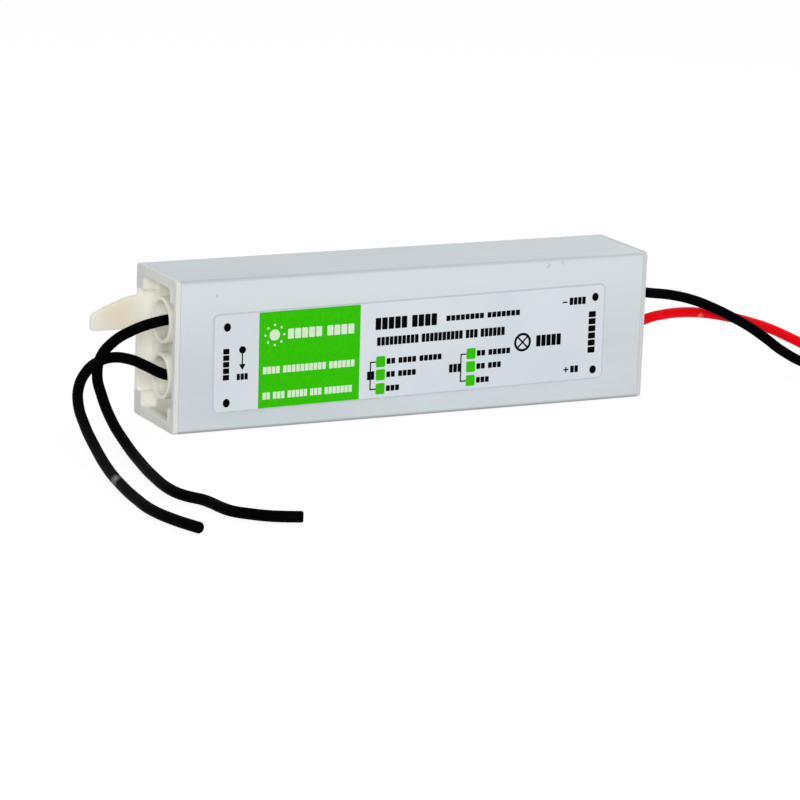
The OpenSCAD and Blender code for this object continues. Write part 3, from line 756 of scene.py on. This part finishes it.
# Broad patches of the film are painted lighter, a painted sheen, and the same patches vary its roughness
sheen = grain(tree, scale=45, detail=2)
film_colour = shades(tree, sheen, tone(221, 229, 235), tone(213, 221, 228))
tree.links.new(film_colour, shader.inputs["Base Color"])
tree.links.new(spread(tree, sheen, low=0.38, high=0.46), shader.inputs["Roughness"])
relief(tree, shader, grain(tree, scale=1800, detail=2), height=0.003 * mm)
label.data.materials.append(film)
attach(label, "root")
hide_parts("label")

adhesive = start_sheet("label_adhesive", adhesive_thickness, adhesive_width)
turn_on_face(adhesive)
smooth(adhesive)
dusty_glue, tree, shader = new_finish("dusty_adhesive", roughness=0.6, specular=0.3)
glue_colour = shades(tree, grain(tree, scale=800), tone(193, 201, 206), tone(202, 210, 214))
tree.links.new(glue_colour, shader.inputs["Base Color"])
adhesive.data.materials.append(dusty_glue)
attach(adhesive, "root")


# Print on the label
# Three screen-printed inks: a green field and six squares, black signs and lines of greeked words,
# and white over the green. The layers stand a few hundredths of a millimetre proud.
ink = 0.02 * mm
front = label_low.y
face_out = (math.pi / 2, 0, 0)
block_fill = 0.84
block_round = 0.12
word_gap = 0.6


def start_ink(name):
    """A new ink layer in edit mode, with nothing printed yet."""
    bpy.ops.object.select_all(action="DESELECT")
    bpy.ops.mesh.primitive_plane_add(size=1)
    layer = bpy.context.object
    layer.name = name
    bpy.ops.object.mode_set(mode="EDIT")
    bpy.ops.mesh.delete(type="VERT")
    return layer


def bar(left, low, right, high, radius=0.0):
    """A flat mark between two corners, in millimetres on the face, with rounded corners."""
    middle = ((left + right) / 2 * mm, ink_base, (low + high) / 2 * mm)
    bpy.ops.mesh.select_all(action="DESELECT")
    bpy.ops.mesh.primitive_plane_add(size=1, location=middle, rotation=face_out)
    bpy.ops.transform.resize(value=((right - left) * mm, 1, (high - low) * mm), center_override=middle)
    if radius:
        bpy.ops.mesh.bevel(offset=radius * mm, segments=4, affect="VERTICES")


def dot(x, z, radius, sides=28, stretch=1):
    """A round mark, or an oval one that is stretched upwards."""
    middle = (x * mm, ink_base, z * mm)
    bpy.ops.mesh.select_all(action="DESELECT")
    bpy.ops.mesh.primitive_circle_add(
        vertices=sides, radius=radius * mm, fill_type="NGON", location=middle, rotation=face_out)
    bpy.ops.transform.resize(value=(1, 1, stretch), center_override=middle)


def word_line(left, base, words, height, pitch):
    """A line of greeked words on a base line: plain blocks, so many to a word, in millimetres."""
    for count in words:
        for block in range(count):
            bar(left, base, left + pitch * block_fill, base + height, pitch * block_round)
            left += pitch
        left += pitch * word_gap


def word_column(right, low, count, height, pitch):
    """A greeked word that reads upwards, with its base line to the right."""
    for block in range(count):
        bar(right - height, low, right, low + pitch * block_fill, pitch * block_round)
        low += pitch


def end_ink(layer, finish):
    """Gives the marks their thickness and finish."""
    bpy.ops.object.mode_set(mode="OBJECT")
    step = layer.modifiers.new("ink", "SOLIDIFY")
    step.thickness = 2 * ink
    step.offset = 1
    bpy.ops.object.modifier_apply(modifier=step.name)
    turn_on_face(layer)
    layer.data.materials.append(finish)
    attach(layer, "root")


def printed(name, dark, light, specular):
    """Screen ink: nearly even, with slightly thin spots."""
    finish, tree, shader = new_finish(name, roughness=0.5, specular=specular)
    spots = grain(tree, scale=1300)
    tree.links.new(shades(tree, spots, dark, light), shader.inputs["Base Color"])
    tree.links.new(spread(tree, spots, low=0.44, high=0.56), shader.inputs["Roughness"])
    return finish


field_left, field_right, field_inset = -34, -12.4, 0.04
square_wide, square_tall, square_round = 1, 1.1, 0.3
square_columns = (-7.8, 12.1)
square_rows = (11.6, 8.95, 6.15)
label_bottom = (label_middle.z - label_half.z) / mm
label_top = (label_middle.z + label_half.z) / mm

# Green and black sit half in the film
ink_base = front + ink
green_print = start_ink("label_green_print")
bar(field_left, label_bottom + field_inset, field_right, label_top - field_inset)
for column in square_columns:
    for row in square_rows:
        bar(column - square_wide, row - square_tall, column + square_wide, row + square_tall, square_round)
end_ink(green_print, printed("green_ink", tone(50, 193, 2), tone(60, 200, 10), specular=0.03))

# Black lines, in millimetres on the face: left end, base line, blocks in each word, height, pitch
black_lines = (
    (-9.1, 18, (5, 4), 2.4, 1.42),              # heading
    (6.4, 18.6, (8, 7), 1.1, 1.06),             # beside the heading
    (-8.7, 14.8, (10, 10, 3, 6), 1.7, 0.92),    # second line
    (-10.7, 8.1, (2,), 1.7, 0.85),              # before the left bracket
    (7.3, 8.1, (3,), 1.7, 0.95),                # before the right bracket
    (-38.6, 10.45, (3,), 1.25, 0.82),           # under the arrow
    (34, 19.75, (4,), 1.5, 0.95),               # beside the minus
    (34.7, 5.85, (2,), 1.4, 0.95),              # beside the plus
    (26.7, 11.85, (5,), 2.3, 1.15))             # beside the sign for a lamp
black_print = start_ink("label_black_print")
for line in black_lines:
    word_line(*line)

# A short line beside each square, and a bracket that ties each column of squares
item_words = (((2, 4, 5), (2, 4), (3,)), ((2, 5), (2, 3), (3,)))
item_gap, item_drop, item_height, item_pitch = 1.3, 0.6, 1.15, 1
bracket_reach, bracket_half = 2.2, 0.13
for column, lines in zip(square_columns, item_words):
    for row, words in zip(square_rows, lines):
        word_line(column + item_gap, row - item_drop, words, item_height, item_pitch)
    bracket = column - bracket_reach
    bar(bracket - bracket_half, square_rows[2], bracket + bracket_half, square_rows[0])
    for row in square_rows[::2]:
        bar(bracket - bracket_half, row - bracket_half, column - square_wide, row + bracket_half)

# Marks beside the leads: a dot for each lead, a greeked word for each end, an arrow on the input
# side, and plus and minus on the output side
dot_columns, dot_rows = (-40.7, 39.85), (21, 6.1)
dot_radius, dot_stretch = 0.73, 1.16
for x in dot_columns:
    for z in dot_rows:
        dot(x, z, dot_radius, stretch=dot_stretch)
word_column(right=-40.2, low=10.6, count=5, height=1.3, pitch=1.28)
word_column(right=40.1, low=9.6, count=6, height=1.6, pitch=1.46)
arrow_x, arrow_high, arrow_low, arrow_half, arrow_neck = -37.45, 16.35, 12.35, 0.8, 1
dot(arrow_x, arrow_high, dot_radius)
bar(arrow_x - bracket_half, arrow_low + arrow_neck, arrow_x + bracket_half, arrow_high)
dot(arrow_x, arrow_low + arrow_half, arrow_half, sides=3)
bpy.ops.transform.rotate(value=math.pi, orient_axis="Y",
                         center_override=(arrow_x * mm, ink_base, (arrow_low + arrow_half) * mm))
sign_half, sign_line = 0.55, 0.14
minus_x, minus_z = 32.95, 20.4
bar(minus_x - sign_half, minus_z - sign_line, minus_x + sign_half, minus_z + sign_line)
plus_x, plus_z = 33.7, 6.55
bar(plus_x - sign_half, plus_z - sign_line, plus_x + sign_half, plus_z + sign_line)
bar(plus_x - sign_line, plus_z - sign_half, plus_x + sign_line, plus_z + sign_half)

# The sign for a lamp, a ring with a cross in it
lamp_x, lamp_z, lamp_radius, lamp_line = 23.6, 13, 1.9, 0.5
dot(lamp_x, lamp_z, lamp_radius, sides=40)
bpy.ops.mesh.inset(thickness=lamp_line * mm, depth=0)
bpy.ops.mesh.delete(type="FACE")
for turn in (math.pi / 4, -math.pi / 4):
    bar(lamp_x - lamp_radius + lamp_line, lamp_z - lamp_line / 3,
        lamp_x + lamp_radius - lamp_line, lamp_z + lamp_line / 3)
    bpy.ops.transform.rotate(value=turn, orient_axis="Y",
                             center_override=(lamp_x * mm, ink_base, lamp_z * mm))
end_ink(black_print, printed("black_ink", tone(3, 3, 5), tone(9, 9, 12), specular=0.012))

# White over the green: a shining lamp with a greeked heading beside it, and two lines below
ink_base = front
white_lines = (
    (-27.9, 17.75, (5, 4), 2, 1.5),
    (-33.1, 11.15, (4, 10, 6), 1.4, 0.93),
    (-33.1, 6.1, (2, 3, 5, 3, 7), 1.4, 0.86))
white_print = start_ink("label_white_print")
sun_x, sun_z, sun_radius = -30.7, 18.75, 1.1
rays, ray_radius, ray_ring = 8, 0.24, 1.8 * sun_radius
dot(sun_x, sun_z, sun_radius)
for ray in range(rays):
    turn = 2 * math.pi * ray / rays
    dot(sun_x + ray_ring * math.cos(turn), sun_z + ray_ring * math.sin(turn), ray_radius, sides=12)
for line in white_lines:
    word_line(*line)
end_ink(white_print, printed("white_ink", tone(214, 238, 200), tone(232, 244, 224), specular=0.08))

# Floor and light
# A plain white studio sweep under soft light: a broad lamp in front, on the input side, and a
# small one above the output end. Floor and backdrop show as white and keep a faint shadow.
sweep_size = 8
sweep_drop = 0.2 * mm
paper_level = 0.85
glow_level = 1.12
glow_share = 0.8
sky_level = 0.5
bpy.ops.object.select_all(action="DESELECT")
bpy.ops.mesh.primitive_plane_add(size=sweep_size, location=(0, 0, -sweep_drop))
sweep = bpy.context.object
sweep.name = "studio_floor"


def seen_directly(tree):
    """1 for what the camera, a reflection or clear material shows, and 0 for scattered light."""
    path = tree.nodes.new("ShaderNodeLightPath")
    seen = path.outputs["Is Camera Ray"]
    for ray in ("Is Glossy Ray", "Is Transmission Ray"):
        either = tree.nodes.new("ShaderNodeMath")
        either.operation = "MAXIMUM"
        tree.links.new(seen, either.inputs[0])
        tree.links.new(path.outputs[ray], either.inputs[1])
        seen = either.outputs["Value"]
    return seen


paper = bpy.data.materials.new("white_floor")
paper.use_nodes = True
tree = paper.node_tree
tree.nodes.clear()
shadowed = tree.nodes.new("ShaderNodeBsdfDiffuse")
shadowed.inputs["Color"].default_value = (paper_level, paper_level, paper_level, 1)
glow = tree.nodes.new("ShaderNodeEmission")
glow.inputs["Strength"].default_value = glow_level
both = tree.nodes.new("ShaderNodeMixShader")
output = tree.nodes.new("ShaderNodeOutputMaterial")
tree.links.new(times(tree, seen_directly(tree), glow_share), both.inputs["Fac"])
tree.links.new(shadowed.outputs["BSDF"], both.inputs[1])
tree.links.new(glow.outputs["Emission"], both.inputs[2])
tree.links.new(both.outputs["Shader"], output.inputs["Surface"])
sweep.data.materials.append(paper)

world = bpy.data.worlds.new("studio")
world.use_nodes = True
bpy.context.scene.world = world
tree = world.node_tree
sky = tree.nodes["Background"]
sky.inputs["Color"].default_value = (1, 1, 1, 1)
sky_strength = spread(tree, seen_directly(tree), low=sky_level, high=1, start=0, end=1)
tree.links.new(sky_strength, sky.inputs["Strength"])


def soft_lamp(name, place, width, power):
    """A square lamp that faces the middle of the housing."""
    bpy.ops.object.light_add(type="AREA", location=place)
    lamp = bpy.context.object
    lamp.name = name
    lamp.data.size = width
    lamp.data.energy = power
    aim = Vector((0, 0, mid_z)) - lamp.location
    lamp.rotation_euler = aim.to_track_quat("-Z", "Y").to_euler()


soft_lamp("front_lamp", place=(-0.58, -1.22, 0.5), width=0.7, power=9)
soft_lamp("top_lamp", place=(0.24, 0.08, 0.28), width=0.2, power=0.2)
